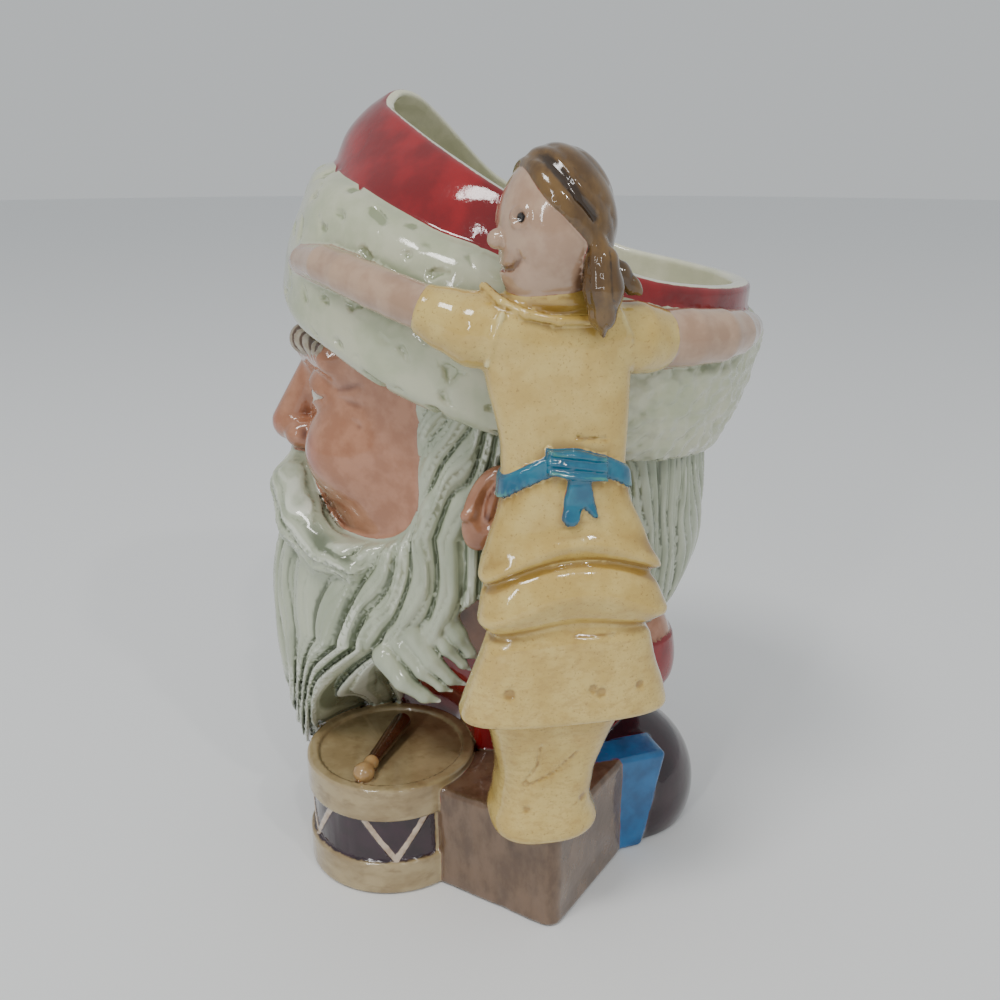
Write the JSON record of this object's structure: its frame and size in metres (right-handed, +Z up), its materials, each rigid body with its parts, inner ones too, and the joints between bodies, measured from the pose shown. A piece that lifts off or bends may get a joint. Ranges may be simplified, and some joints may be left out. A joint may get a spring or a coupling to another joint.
{
  "type": "toby jug",
  "caption": "Hollow glazed toby jug: a bearded man's head in a fur-trimmed red cap, with a doll as its handle and toys at the foot.",
  "frame": {"origin": "middle of the flat underside, on the surface that the jug stands on", "axes": "+Z up; the doll that is the handle stands on the +X side; the face looks towards -Y, turned 15 degrees towards -X"},
  "size_m": [0.1223, 0.1226, 0.1898],
  "materials": {
    "glazed_earthenware": "gloss"
  },
  "bodies": {
    "root": {"jug": "glazed_earthenware"}
  },
  "joints": []
}
